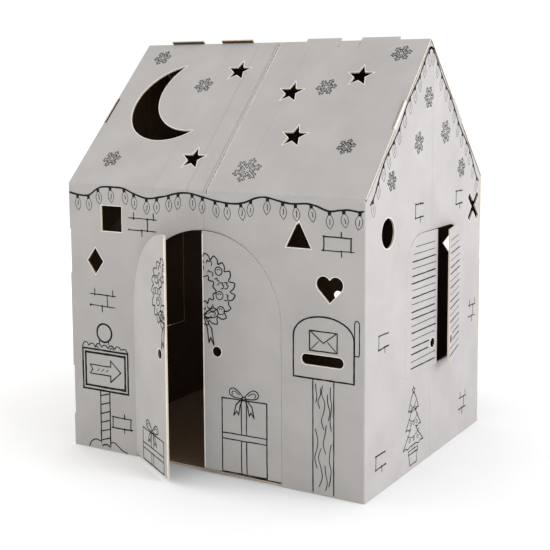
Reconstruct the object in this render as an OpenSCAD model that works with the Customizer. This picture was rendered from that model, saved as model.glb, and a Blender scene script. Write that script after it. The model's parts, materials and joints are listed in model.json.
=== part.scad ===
// Cardboard playhouse for colouring in. Two like sheets of corrugated board, each a wall, half the
// roof and one gable wall, lock together at two corners and along the ridge over a loose floor panel.
// Frame: +Z up, front wall facing -Y, middle of the footprint at the origin, millimetres.

/* [House] */
// Width of the front wall
wall_w = 813; // [790:1:880]
// Depth from the front wall to the back wall
wall_d = 685; // [660:1:740]
// Height of the walls at the eaves
eave_h = 664; // [650:1:700]
// Height of the roof's ridge
ridge_h = 1009; // [980:1:1060]
// Thickness of the corrugated board
board_t = 4; // [3:0.25:5]
// Clearance between the two sheets where they lock
fit = 0.3; // [0.2:0.05:0.6]
// Clearance all round the floor panel
floor_gap = 0.5; // [0.3:0.1:0.9]
// Gap between a gable wall's slopes and the roof over them
roof_gap = 3; // [0.3:0.1:4]

/* [Corner and roof locks] */
// Height at which the lower corner tongue starts
low_lock_z = 80; // [60:1:100]
// Length of the lower corner tongue
low_lock_len = 124; // [90:1:150]
// Height at which the upper corner tongue starts
high_lock_z = 440; // [400:1:460]
// Length of the upper corner tongue
high_lock_len = 110; // [80:1:130]
// Distance of a corner tongue's end behind the wall's outer face
lock_inset = 3; // [0:0.5:4]
// Width of the flap folded in behind a locked corner
flap_w = 40; // [30:1:60]
// Height of the flap's foot above the floor panel
flap_foot = 16; // [8:1:30]
// Distance of the flap's head below the eaves
flap_head = 60; // [40:1:100]
// Distance up the slope from the eaves to the gable tongue
roof_lock_v = 200; // [170:1:230]
// Length of the gable tongue along the slope
roof_lock_len = 84; // [60:1:110]
// Height that the gable tongue stands proud of the roof
roof_lock_proud = 2; // [1:0.5:5]
// Gap between the gable tongue and the foot of its notch in the roof
notch_gap = 3; // [0.3:0.1:5]

/* [Ridge locks] */
// Distance of the inner ridge tongue from the middle of the roof
ridge_inner_x = 77; // [60:1:90]
// Length of the inner ridge tongue
ridge_inner_len = 94; // [70:1:110]
// Width of the slit tab between the two ridge tongues
ridge_tab_w = 56; // [40:1:70]
// Length of the outer ridge tongue
ridge_outer_len = 100; // [80:1:120]
// Height that the front sheet's tongues rise over the ridge
front_ridge_rise = 4; // [3:0.5:12]
// Height that the back sheet's tongues rise over the ridge
back_ridge_rise = 6; // [3:0.5:12]
// Depth of the slits beside the ridge tab
ridge_slit_len = 24; // [15:1:40]
// Width of the slits beside the ridge tab
ridge_slit_w = 1.2; // [0.8:0.1:2]

/* [Door] */
// Offset of the door's middle from the wall's middle
door_x = -7; // [-20:1:20]
// Half the width of the doorway, and the radius of its arch
door_r = 206; // [180:1:215]
// Height at which the arch springs
door_spring_h = 366; // [330:1:385]
// Height of the leaves' lower edge above the ground
leaf_clear = 10; // [8:0.5:16]
// Width of the cut round the leaves and the shutters
cut_gap = 0.8; // [0.5:0.1:1.2]
// Diameter of the finger hole in a leaf
knob_d = 24; // [20:1:35]
// Height of the finger hole in a leaf
knob_h = 293; // [260:1:320]
// Distance of the leaf's finger hole from the meeting edge
knob_edge = 38; // [25:1:60]
// Angle at which the front left leaf stands open
front_left_open = 32; // [2:1:60]
// Angle at which the front right leaf stands open
front_right_open = 2; // [2:1:60]
// Angle at which the back left leaf stands open
back_left_open = 2; // [2:1:60]
// Angle at which the back right leaf stands open
back_right_open = 15; // [2:1:60]

/* [Window] */
// Offset of the window's middle from the gable wall's middle
window_y = 39; // [0:1:55]
// Width of the window
window_w = 343; // [300:1:360]
// Height of the window sill
window_sill = 226; // [210:1:260]
// Height of the window
window_h = 331; // [300:1:345]
// Radius of the window's upper corners
window_r = 85; // [60:1:110]
// Diameter of the finger hole in a shutter
grip_d = 24; // [18:1:32]
// Height of the shutter's finger hole above the sill
grip_h = 58; // [40:1:90]
// Distance of the shutter's finger hole from the meeting edge
grip_edge = 26; // [20:1:45]
// Angle at which the shutter nearest the sheet's own wall stands open
near_shutter_open = 2; // [2:1:60]
// Angle at which the shutter nearest the locked corner stands open
far_shutter_open = 12; // [2:1:60]

/* [Cut-out shapes] */
// Distance of the square from the wall's left edge
square_x = 132; // [115:1:140]
// Height of the square's middle
square_z = 582; // [570:1:600]
// Side of the square
square_s = 62; // [50:1:70]
// Distance of the diamond from the wall's left edge
diamond_x = 79; // [60:1:95]
// Height of the diamond's middle
diamond_z = 475; // [460:1:490]
// Width of the diamond
diamond_w = 50; // [40:1:60]
// Height of the diamond
diamond_h = 67; // [55:1:75]
// Distance of the triangle from the wall's right edge
triangle_x = 163; // [150:1:175]
// Height of the triangle's base
triangle_z = 549; // [540:1:560]
// Width of the triangle's base
triangle_w = 64; // [50:1:70]
// Height of the triangle
triangle_h = 62; // [50:1:66]
// Distance of the heart from the wall's right edge
heart_x = 86; // [70:1:100]
// Height of the heart's tip
heart_z = 433; // [425:1:440]
// Width of the heart
heart_w = 66; // [50:1:72]
// Distance of the letter slot from the wall's right edge
slot_x = 104; // [90:1:120]
// Height of the letter slot's middle
slot_z = 304; // [295:1:315]
// Length of the letter slot
slot_w = 105; // [80:1:115]
// Height of the letter slot
slot_h = 24; // [16:1:30]
// Distance of the circle from the folded corner
circle_y = 111; // [90:1:125]
// Height of the circle's middle
circle_z = 578; // [565:1:590]
// Diameter of the circle
circle_d = 68; // [55:1:75]
// Distance of the cross from the locked corner
cross_y = 55; // [50:1:65]
// Height of the cross's middle
cross_z = 586; // [570:1:590]
// Height and width of the cross
cross_s = 68; // [50:1:70]
// Width of the cross's arms
cross_arm = 19; // [10:1:20]

/* [Moon and stars] */
// Distance of the moon's middle from the roof's middle
moon_x = -211; // [-225:1:-200]
// Distance of the moon's middle up the slope
moon_v = 276; // [265:1:285]
// Outer radius of the moon
moon_r = 130; // [110:1:132]
// Radius of the round bite that leaves the crescent
bite_r = 134; // [126:1:140]
// Distance from the moon's middle to the middle of the bite
bite_shift = 80; // [60:1:90]
// Direction of the bite from the moon's middle
bite_angle = 29; // [15:1:45]
// Radius of the stars' points
star_r = 35; // [25:1:40]
// Places of the stars, from the roof's middle and up the slope
star_places = [[-78, 383], [101, 310], [265, 363], [165, 171], [-78, 93]]; // any clear of the edges

/* [Ink] */
// Thickness of the printed ink
ink_t = 0.3; // [0.2:0.05:0.5]
// Width of a drawn line
line_w = 2.4; // [1.8:0.1:3]
// Bare margin between a drawing and the edge that it runs up to
ink_margin = 5; // [4:0.5:8]

/* [Light string] */
// Distance of the string below the eaves
string_drop = 16; // [14:1:25]
// Depth of the string's waves
string_wave = 7; // [0:1:9]
// Spacing of the bulbs over the wall
bulb_pitch = 35; // [30:1:60]
// Spacing of the bulbs along a gable's slope
gable_bulb_pitch = 50; // [35:1:70]
// Length of a bulb
bulb_len = 25; // [18:1:28]
// Width of a bulb
bulb_w = 15; // [12:1:18]

/* [Drawings] */
// Distance of the sign post from the wall's left edge
sign_x = 102; // [90:1:110]
// Width of the sign board
sign_w = 142; // [110:1:150]
// Height of the sign board
sign_h = 100; // [70:1:110]
// Height of the sign board's middle
sign_z = 203; // [190:1:215]
// Width of the sign post
post_w = 30; // [20:1:36]
// Distance of the letter box drawing from the wall's right edge
box_x = 102; // [95:1:120]
// Width of the letter box
box_w = 150; // [125:1:160]
// Height of the letter box's lower edge
box_z = 262; // [250:1:270]
// Height of the letter box's sides
box_side_h = 100; // [85:1:105]
// Rise of the letter box's round top
box_rise = 38; // [25:1:45]
// Width of the letter box post
box_post_w = 52; // [40:1:60]
// Height of the wreath's middle
wreath_z = 437; // [430:1:450]
// Outer radius of the wreath
wreath_r = 80; // [60:1:90]
// Inner radius of the wreath
wreath_hole_r = 38; // [30:1:48]
// Width of the gift box on the right leaf
right_gift_w = 118; // [90:1:130]
// Height of the gift box on the right leaf
right_gift_h = 176; // [140:1:190]
// Distance of the right gift box from the meeting edge
right_gift_x = 50; // [40:1:60]
// Width of the gift box on the left leaf
left_gift_w = 132; // [100:1:140]
// Height of the gift box on the left leaf
left_gift_h = 84; // [60:1:110]
// Distance of the left gift box from the meeting edge
left_gift_x = 24; // [16:1:40]
// Number of louvre lines on a shutter
louvre_n = 18; // [10:1:20]
// Distance of the potted fir from the folded corner
fir_y = 250; // [190:1:270]
// Height of the potted fir
fir_h = 176; // [140:1:180]
// Height of the potted fir's foot
fir_z = 20; // [8:1:25]
// Width of a patch of brickwork on the wall
brick_w = 80; // [60:1:90]
// Width of a patch of brickwork on the gable
gable_brick_w = 50; // [40:1:60]
// Height of a course of bricks
brick_course = 24; // [18:1:28]
// Radius of a snowflake on the roof
flake_r = 26; // [18:1:30]
// Radius of the large snowflake on the roof
large_flake_r = 36; // [28:1:40]
// Radius of a snowflake on the gable
gable_flake_r = 26; // [16:1:28]
// Places of the brickwork, from the wall's middle and the ground
brick_places = [[-180, 562], [-306, 371], [-257, 68], [340, 558]]; // any clear of the cuts
// Places of the brickwork, from the gable's middle and the ground
gable_brick_places = [[-65, 601], [187, 610], [-255, 330], [-266, 62], [300, 300], [227, 70]]; // any clear
// Places of the snowflakes, from the roof's middle and up the slope
flake_places = [[-338, 433], [-160, 333], [-316, 82], [347, 435], [190, 326], [308, 144]]; // any clear
// Place of the large snowflake
large_flake_place = [84, 65]; // any clear of the cuts
// Places of the snowflakes, from the gable's middle and the ground
gable_flake_places = [[-11, 871], [-67, 768], [93, 786], [200, 692], [-205, 672]]; // any clear

/* [Hidden] */
$fn = 64;

liner = "#e8e5df";
kraft = "#a9845a";
ink = "#1c1a1b";

half_w = wall_w / 2;
half_d = wall_d / 2;
left = -half_w;
pitch = atan2(ridge_h - eave_h, half_d);
slope = norm([ridge_h - eave_h, half_d]);

// Inner corner of the eaves fold
fold_y = -half_d + board_t;
fold_z = eave_h + board_t * tan(pitch) - board_t / cos(pitch);
// Edge of the roof between its tongues, set back so that the other sheet's tongues pass over it
roof_end = slope - max(board_t * tan(pitch), board_t / sin(2 * pitch)) - fit;
ridge_outer_x = ridge_inner_x + ridge_inner_len + ridge_tab_w;
locked_y = half_d - board_t - fit;
through = 4 * board_t;
// Keeps the ink clear of the sloping board, whose turned faces are rounded
ink_lift = 0.002;

// Point in the YZ plane from a distance up the slope and a depth under the roof's outer face
function roof_yz(v, depth) = [-half_d + v * cos(pitch) + depth * sin(pitch),
    eave_h + v * sin(pitch) - depth * cos(pitch)];
// Height of the line at a depth under the roof, at a place y of the front slope
function under_roof(y, depth) = eave_h + (y + half_d) * tan(pitch) - depth / cos(pitch);

function unit(p) = p / norm(p);
function arc(middle, r, from, to, n) =
    [for (i = [0:n]) middle + r * [cos(from + (to - from) * i / n), sin(from + (to - from) * i / n)]];
// Normal of a polyline at point i, long enough to keep the strip's width at a bend
function bend_normal(p, i) =
    let (a = unit(p[min(i + 1, len(p) - 1)] - p[min(i, len(p) - 2)]),
         b = unit(p[max(i, 1)] - p[max(i - 1, 0)]),
         m = unit(a + b))
    [-m[1], m[0]] / max(0.4, m * a);
function strip(p, w) = concat(
    [for (i = [0:len(p) - 1]) p[i] + bend_normal(p, i) * w / 2],
    [for (i = [len(p) - 1:-1:0]) p[i] - bend_normal(p, i) * w / 2]);

// Flat shapes drawn in a panel's own plane are laid on it: h thick, reaching inside its outer face
module on_wall(h, inside = 0)
    translate([0, inside - half_d, 0]) rotate([90, 0, 0]) linear_extrude(h) children();
module on_gable(h, inside = 0)
    translate([half_w - inside, 0, 0]) rotate([90, 0, 90]) linear_extrude(h) children();
module on_roof(h, inside = 0)
    translate([0, -half_d, eave_h]) rotate([pitch, 0, 0]) translate([0, 0, -inside])
        linear_extrude(h) children();
module to_back() rotate([0, 0, 180]) children();

module swing_leaf(side, open)
    translate([door_x + side * door_r, -half_d, 0]) rotate([0, 0, side * open])
        translate([-door_x - side * door_r, half_d, 0]) children();
module swing_shutter(side, open)
    translate([half_w, window_y + side * window_w / 2, 0]) rotate([0, 0, side * open])
        translate([-half_w, -window_y - side * window_w / 2, 0]) children();

module rect(x, y, w, h) translate([x - w / 2, y - h / 2]) square([w, h]);

// Openings
module doorway(inset = 0, foot = 0) {
    translate([door_x - door_r + inset, foot]) square([2 * (door_r - inset), door_spring_h - foot]);
    translate([door_x, door_spring_h]) circle(door_r - inset);
}
module window_shape(inset = 0) {
    w = window_w - 2 * inset;
    r = window_r - inset;
    top = window_sill + window_h - inset;
    difference() {
        translate([window_y - w / 2, window_sill + inset]) square([w, window_h - 2 * inset]);
        for (side = [-1, 1]) difference() {
            rect(window_y + side * (w - r) / 2, top - r / 2, r, r);
            translate([window_y + side * (w / 2 - r), top - r]) circle(r);
        }
    }
}
// Two lobes that cross on the middle line, with straight sides that run from them to the tip
module heart() {
    lobe = heart_w * 0.27;
    middle = [heart_w / 2 - lobe, heart_w * 0.62];
    from = acos(lobe / norm(middle)) - 180 + atan2(middle[1], middle[0]);
    to = acos(-middle[0] / lobe);
    polygon(concat([[0, 0]], arc(middle, lobe, from, to, 14),
        arc([-middle[0], middle[1]], lobe, 180 - to, 180 - from, 14)));
}
module star(r) polygon([for (i = [0:9]) (i % 2 == 0 ? r : r * 0.42) * [sin(i * 36), cos(i * 36)]]);
module moon() difference() {
    circle(moon_r);
    translate(bite_shift * [cos(bite_angle), sin(bite_angle)]) circle(bite_r);
}

// Panels of one sheet, flat
module wall_outline() difference() {
    translate([left, 0]) square([wall_w - board_t, fold_z]);
    for (z = [low_lock_z, high_lock_z])
        translate([left - board_t, z])
            square([2 * board_t + fit, z == low_lock_z ? low_lock_len : high_lock_len]);
    doorway(0, -board_t);
    rect(left + square_x, square_z, square_s, square_s);
    translate([left + diamond_x, diamond_z]) polygon([[-diamond_w / 2, 0], [0, -diamond_h / 2],
        [diamond_w / 2, 0], [0, diamond_h / 2]]);
    translate([half_w - triangle_x, triangle_z]) polygon([[-triangle_w / 2, 0], [triangle_w / 2, 0],
        [0, triangle_h]]);
    translate([half_w - heart_x, heart_z]) heart();
    rect(half_w - slot_x, slot_z, slot_w - slot_h, slot_h);
    for (side = [-1, 1])
        translate([half_w - slot_x + side * (slot_w - slot_h) / 2, slot_z]) circle(slot_h / 2);
}
// What is cut from the roof: the gaps beside the ridge tongues, the slits, the notches and the shapes
module roof_cuts(rise) {
    tongue_end = slope + rise / sin(pitch);
    for (gap = [[left - board_t, ridge_inner_x], [ridge_inner_x + ridge_inner_len, ridge_outer_x],
            [ridge_outer_x + ridge_outer_len, half_w + board_t]])
        translate([gap[0], roof_end]) square([gap[1] - gap[0], tongue_end - roof_end + board_t]);
    for (x = [ridge_inner_x + ridge_inner_len, ridge_outer_x - ridge_slit_w])
        translate([x, roof_end - ridge_slit_len]) square([ridge_slit_w, ridge_slit_len + board_t]);
    for (side = [-1, 1])
        rect(side * half_w, roof_lock_v + roof_lock_len / 2, 2 * (board_t + notch_gap), roof_lock_len);
    translate([moon_x, moon_v]) moon();
    for (place = star_places) translate(place) star(star_r);
}

module gable_outline() {
    peak = under_roof(0, board_t + roof_gap);
    side_z = under_roof(fold_y, board_t + roof_gap);
    far_z = under_roof(-locked_y, board_t + roof_gap);
    difference() {
        union() {
            polygon([[fold_y, 0], [locked_y, 0], [locked_y, far_z], [0, peak], [fold_y, side_z]]);
            for (z = [low_lock_z, high_lock_z])
                translate([locked_y - board_t, z + fit])
                    square([half_d - lock_inset - locked_y + board_t,
                        (z == low_lock_z ? low_lock_len : high_lock_len) - 2 * fit]);
            polygon(gable_tongue());
            polygon([for (p = [3:-1:0]) [-gable_tongue()[p][0], gable_tongue()[p][1]]]);
        }
        window_shape();
        translate([-half_d + circle_y, circle_z]) circle(circle_d / 2);
        translate([half_d - cross_y, cross_z]) cross();
    }
}
// Corners of the tongue that goes up through the roof's notch
function gable_tongue() = let (from = roof_lock_v + fit, to = roof_lock_v + roof_lock_len - fit)
    [roof_yz(from, 2 * board_t), roof_yz(to, 2 * board_t),
        roof_yz(to, -roof_lock_proud), roof_yz(from, -roof_lock_proud)];
module cross() {
    reach = (cross_s - cross_arm * 0.7) / sqrt(2) + cross_arm * 0.35;
    for (turn = [45, -45]) rotate(turn) square([2 * reach, cross_arm], center = true);
}
module leaf_outline(side) difference() {
    intersection() {
        doorway(cut_gap, leaf_clear);
        translate([side < 0 ? door_x - door_r : door_x + cut_gap / 2, 0])
            square([door_r - cut_gap / 2, door_spring_h + door_r]);
    }
    translate([door_x + side * knob_edge, knob_h]) circle(knob_d / 2);
}
module shutter_outline(side) difference() {
    intersection() {
        window_shape(cut_gap);
        translate([side < 0 ? window_y - window_w / 2 : window_y + cut_gap / 2, window_sill])
            square([(window_w - cut_gap) / 2, window_h]);
    }
    translate([window_y + side * grip_edge, window_sill + grip_h]) circle(grip_d / 2);
}

// One sheet: its wall, the roof folded back at the eaves, and the gable wall folded at the corner
module wall_panel() color(liner) on_wall(board_t, board_t) wall_outline();
module roof_panel(rise) color(liner) difference() {
    roof_blank(slope + rise / sin(pitch));
    on_roof(through, 2 * board_t) roof_cuts(rise);
}
module gable_panel() color(liner) {
    on_gable(board_t, board_t) gable_outline();
    corner_fold();
    lock_flap();
}
// The roof's board from the rounded fold at the eaves up to a distance along the slope
module roof_blank(top)
    translate([left, 0, 0]) rotate([90, 0, 90]) linear_extrude(wall_w)
        polygon(concat([[fold_y, fold_z], roof_yz(top, board_t), roof_yz(top, 0)],
            arc([fold_y, fold_z], board_t, 90 + pitch, 180, 8)));
module corner_fold()
    translate([half_w - board_t, fold_y, 0]) intersection() {
        cylinder(r = board_t, h = under_roof(fold_y, board_t + roof_gap));
        translate([0, -board_t, 0]) cube([board_t, board_t, eave_h]);
    }
// Flap folded in behind the other sheet's wall, slit free of the two corner tongues
module lock_flap() {
    foot = board_t + flap_foot;
    head = eave_h - flap_head;
    translate([half_w - board_t - flap_w, locked_y, 0]) rotate([90, 0, 0]) linear_extrude(board_t)
        difference() {
            translate([0, foot]) square([flap_w, head - foot]);
            for (z = [low_lock_z, high_lock_z])
                translate([flap_w - fit, z])
                    square([board_t, z == low_lock_z ? low_lock_len : high_lock_len]);
        }
}

// Drawn lines
module stroke(points, w = line_w) polygon(strip(points, w));
// Line just inside a closed shape whose corners run anticlockwise
module outline(p, w = line_w) {
    n = len(p);
    inner = [for (i = [0:n - 1]) let (a = unit(p[(i + 1) % n] - p[i]), b = unit(p[i] - p[(i + n - 1) % n]),
        m = unit(a + b)) p[i] + [-m[1], m[0]] * w / max(0.4, m * a)];
    polygon(points = concat(p, inner), paths = [[for (i = [0:n - 1]) i], [for (i = [0:n - 1]) n + i]]);
}
module frame_lines(w, h, line = line_w) difference() {
    square([w, h], center = true);
    square([w - 2 * line, h - 2 * line], center = true);
}
module oval_ring(w, h, line = line_w, n = 6)
    outline([for (i = [0:n - 1]) [w / 2 * sin(-i * 360 / n), h / 2 * cos(i * 360 / n)]], line);
module bulb() {
    socket_h = bulb_len * 0.32;
    translate([0, -socket_h / 2]) square([bulb_w * 0.42, socket_h], center = true);
    translate([0, -socket_h * 0.8 - bulb_len / 2]) oval_ring(bulb_w, bulb_len, line_w * 0.8);
}
// Six thin arms
module snowflake(r) {
    arm = line_w * 0.6;
    polygon([for (i = [0:5]) each [[r * cos(i * 60) + arm * sin(i * 60), r * sin(i * 60) - arm * cos(i * 60)],
        [r * cos(i * 60) - arm * sin(i * 60), r * sin(i * 60) + arm * cos(i * 60)],
        2 * arm * [cos(i * 60 + 30), sin(i * 60 + 30)]]]);
}
// Two courses of brickwork, w wide, drawn as one joined line
module brick_marks(w) {
    shift = w * 0.08;
    stub = brick_course * 0.6;
    rect(0, 0, w, line_w);
    rect(shift, brick_course, w, line_w);
    rect(-shift / 2, brick_course / 2, line_w, brick_course);
    rect(w * 0.3, -stub / 2, line_w, stub);
}
module bow(w) {
    for (side = [-1, 1]) {
        translate([side * w * 0.26, w * 0.1]) rotate(side * 22) oval_ring(w * 0.5, w * 0.26);
        stroke([[side * w * 0.03, 0], [side * w * 0.14, -w * 0.2], [side * w * 0.34, -w * 0.42]]);
    }
    circle(w * 0.08, $fn = 6);
}
module gift(w, h) {
    ribbon = w * 0.12;
    translate([0, h / 2]) frame_lines(w, h);
    for (side = [-1, 1]) {
        rect(side * ribbon / 2, h / 2, line_w, h - line_w);
        rect(0, h * 0.5 + side * ribbon / 2, w - line_w, line_w);
    }
    translate([0, h]) bow(w * 0.7);
}
module wreath() {
    n = 9;
    leaf = (wreath_r - wreath_hole_r) * 0.12;
    for (r = [wreath_r - leaf, wreath_hole_r + leaf])
        outline([for (i = [0:2 * n - 1]) (r + (i % 2 == 0 ? leaf : -leaf)) * [cos(i * 180 / n),
            sin(i * 180 / n)]], line_w * 1.3);
    translate([0, -(wreath_r + wreath_hole_r) / 2]) bow(wreath_r * 1.2);
}

// Height of the light string over the wall at a place x, in long shallow waves
function string_z(x) = eave_h - string_drop + string_wave * (sin(x * 360 / (6 * bulb_pitch) + 100) - 1) / 2;
module wall_string() {
    reach = half_w - ink_margin;
    n = 32;
    stroke([for (i = [0:n]) let (x = -reach + 2 * reach * i / n) [x, string_z(x)]], line_w * 0.8);
    count = floor(wall_w / bulb_pitch) - 1;
    for (i = [0:count]) {
        x = (i - count / 2) * bulb_pitch;
        translate([x, string_z(x)]) rotate(12 * sin(i * 97)) bulb();
    }
}
// The same string along both slopes of a gable wall
module gable_string() {
    inset = board_t + string_drop;
    start = roof_yz(inset + ink_margin, inset);
    stroke([start, [0, under_roof(0, inset)], [-start[0], start[1]]], line_w * 0.8);
    count = floor((slope - 3 * inset) / gable_bulb_pitch);
    for (side = [-1, 1], i = [0:count]) {
        place = roof_yz(2 * inset + i * gable_bulb_pitch, inset);
        translate([-side * place[0], place[1]]) rotate(side * (10 * sin(i * 97) - pitch)) bulb();
    }
}
module sign_post() {
    board_top = sign_z + sign_h / 2;
    board_foot = sign_z - sign_h / 2;
    ball_r = post_w * 0.72;
    translate([0, sign_z]) {
        frame_lines(sign_w, sign_h);
        frame_lines(sign_w - 6 * line_w, sign_h - 6 * line_w);
        // Arrow in place of words
        reach = sign_w * 0.3;
        head = sign_h * 0.2;
        polygon([[-reach, -2 * line_w], [reach - head, -2 * line_w], [reach - head, -head], [reach, 0],
            [reach - head, head], [reach - head, 2 * line_w], [-reach, 2 * line_w]]);
    }
    translate([0, board_top + ball_r]) oval_ring(2 * ball_r, 2 * ball_r, line_w, 16);
    for (side = [-1, 1])
        rect(side * (post_w - line_w) / 2, (board_foot + ink_margin) / 2, line_w, board_foot - ink_margin);
    stripe = (board_foot - ink_margin) / 7;
    for (i = [0:5]) stroke([[-post_w / 2 + line_w / 2, ink_margin + (i + 0.3) * stripe],
        [post_w / 2 - line_w / 2, ink_margin + (i + 0.95) * stripe]]);
}
module letter_box() {
    top = box_z + box_side_h;
    n = 12;
    outline(concat([[-box_w / 2, box_z], [box_w / 2, box_z]],
        [for (i = [0:n]) [box_w / 2 * cos(i * 180 / n), top + box_rise * sin(i * 180 / n)]]));
    for (side = [-1, 1]) rect(side * box_post_w / 2, (box_z + ink_margin) / 2, line_w, box_z - ink_margin);
    // Flag on the box's side
    translate([box_w / 2 + line_w * 2.5, top]) frame_lines(line_w * 6, box_rise * 2);
    // Envelope over the slot
    envelope = [box_w * 0.42, box_side_h * 0.36];
    translate([0, (slot_z + slot_h / 2 + top + box_rise * 0.55) / 2]) {
        frame_lines(envelope[0], envelope[1]);
        stroke([[-envelope[0] / 2 + line_w, envelope[1] / 2 - line_w], [0, -envelope[1] * 0.1],
            [envelope[0] / 2 - line_w, envelope[1] / 2 - line_w]]);
    }
}
module fir() {
    pot_h = fir_h * 0.2;
    pot_w = fir_h * 0.3;
    tier = fir_h * 0.27;
    right_side = [for (i = [0:2]) each [[fir_h * (0.34 - i * 0.08), pot_h + i * tier],
        [fir_h * (0.13 - i * 0.03), pot_h + (i + 0.86) * tier]]];
    outline(concat(right_side, [[0, fir_h]], [for (i = [5:-1:0]) [-right_side[i][0], right_side[i][1]]]));
    outline([[-pot_w * 0.36, 0], [pot_w * 0.36, 0], [pot_w / 2, pot_h + line_w / 2],
        [-pot_w / 2, pot_h + line_w / 2]]);
}

// Ink of one sheet, panel by panel
module wall_ink() {
    wall_string();
    translate([left + sign_x, 0]) sign_post();
    translate([half_w - box_x, 0]) letter_box();
    difference() {
        for (place = brick_places) translate(place) brick_marks(brick_w);
        doorway(-ink_margin);
    }
}
module roof_ink() {
    for (place = flake_places) translate(place) snowflake(flake_r);
    translate(large_flake_place) snowflake(large_flake_r);
}
module gable_ink() {
    gable_string();
    for (place = gable_flake_places) translate(place) snowflake(gable_flake_r);
    for (place = gable_brick_places) translate(place) brick_marks(gable_brick_w);
    translate([-half_d + fir_y, fir_z]) fir();
}
module leaf_ink(side) intersection() {
    union() {
        translate([door_x, wreath_z]) wreath();
        if (side > 0) translate([door_x + right_gift_x + right_gift_w / 2, leaf_clear + line_w])
            gift(right_gift_w, right_gift_h);
        else translate([door_x - left_gift_x - left_gift_w / 2, leaf_clear + line_w])
            gift(left_gift_w, left_gift_h);
    }
    translate([door_x + (side > 0 ? cut_gap : -door_r + ink_margin), leaf_clear])
        square([door_r - ink_margin - cut_gap, door_spring_h + door_r]);
}
module shutter_ink(side) {
    louvre_pitch = (window_h - 2 * window_r * 0.36) / (louvre_n + 0.5);
    half = window_w / 2;
    for (i = [0:louvre_n - 1]) {
        z = window_sill + window_r * 0.22 + i * louvre_pitch;
        over = max(0, z - (window_sill + window_h - window_r));
        cut_in = window_r - sqrt(window_r * window_r - over * over);
        near = abs(z - window_sill - grip_h) < grip_d * 0.75 ? grip_edge + grip_d * 0.8 : ink_margin * 2;
        far = half - cut_in - 4 * ink_margin;
        rect(window_y + side * (near + far) / 2, z, far - near, line_w);
    }
}

module floor_panel() color(kraft)
    translate([left + board_t + floor_gap, fold_y + floor_gap, 0])
        cube([wall_w - 2 * (board_t + floor_gap), wall_d - 2 * (board_t + floor_gap), board_t]);
module leaf(side, open) color(liner) swing_leaf(side, open) on_wall(board_t, board_t) leaf_outline(side);
module leaf_print(side, open) color(ink) swing_leaf(side, open) on_wall(ink_t) leaf_ink(side);
module shutter(side, open)
    color(liner) swing_shutter(side, open) on_gable(board_t, board_t) shutter_outline(side);
module shutter_print(side, open)
    color(ink) swing_shutter(side, open) on_gable(ink_t) shutter_ink(side);
module wall_print() color(ink) on_wall(ink_t) wall_ink();
module roof_print() color(ink) on_roof(ink_t, -ink_lift) roof_ink();
module gable_print() color(ink) on_gable(ink_t) gable_ink();

wall_panel();  // front_wall
roof_panel(front_ridge_rise);  // front_roof
gable_panel();  // right_gable
to_back() wall_panel();  // back_wall
to_back() roof_panel(back_ridge_rise);  // back_roof
to_back() gable_panel();  // left_gable
floor_panel();
leaf(-1, front_left_open);  // front_left_leaf
leaf(1, front_right_open);  // front_right_leaf
to_back() leaf(-1, back_left_open);  // back_left_leaf
to_back() leaf(1, back_right_open);  // back_right_leaf
shutter(-1, near_shutter_open);  // right_near_shutter
shutter(1, far_shutter_open);  // right_far_shutter
to_back() shutter(-1, near_shutter_open);  // left_near_shutter
to_back() shutter(1, far_shutter_open);  // left_far_shutter
wall_print();  // front_wall_print
roof_print();  // front_roof_print
gable_print();  // right_gable_print
to_back() wall_print();  // back_wall_print
to_back() roof_print();  // back_roof_print
to_back() gable_print();  // left_gable_print
leaf_print(-1, front_left_open);  // front_left_leaf_print
leaf_print(1, front_right_open);  // front_right_leaf_print
to_back() leaf_print(-1, back_left_open);  // back_left_leaf_print
to_back() leaf_print(1, back_right_open);  // back_right_leaf_print
shutter_print(-1, near_shutter_open);  // right_near_shutter_print
shutter_print(1, far_shutter_open);  // right_far_shutter_print
to_back() shutter_print(-1, near_shutter_open);  // left_near_shutter_print
to_back() shutter_print(1, far_shutter_open);  // left_far_shutter_print
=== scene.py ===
import json
import math
import random

import bpy
from mathutils import Matrix, Vector, noise


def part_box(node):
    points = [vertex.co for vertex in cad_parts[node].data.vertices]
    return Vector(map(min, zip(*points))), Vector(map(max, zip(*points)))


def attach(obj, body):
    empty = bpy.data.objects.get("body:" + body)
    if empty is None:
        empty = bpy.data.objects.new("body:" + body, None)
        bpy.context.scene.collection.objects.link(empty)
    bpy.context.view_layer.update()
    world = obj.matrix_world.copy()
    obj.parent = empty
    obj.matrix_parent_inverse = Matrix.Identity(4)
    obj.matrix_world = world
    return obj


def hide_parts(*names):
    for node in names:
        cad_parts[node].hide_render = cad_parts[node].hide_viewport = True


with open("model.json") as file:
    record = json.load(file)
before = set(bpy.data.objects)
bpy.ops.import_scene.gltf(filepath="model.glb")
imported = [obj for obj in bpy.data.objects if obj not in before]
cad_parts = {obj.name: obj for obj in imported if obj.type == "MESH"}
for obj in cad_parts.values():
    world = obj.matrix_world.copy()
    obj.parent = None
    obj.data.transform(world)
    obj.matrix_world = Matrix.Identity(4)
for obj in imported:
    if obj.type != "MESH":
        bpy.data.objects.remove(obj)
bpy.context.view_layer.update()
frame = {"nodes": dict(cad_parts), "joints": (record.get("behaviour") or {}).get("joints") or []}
mm = 0.001

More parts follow.
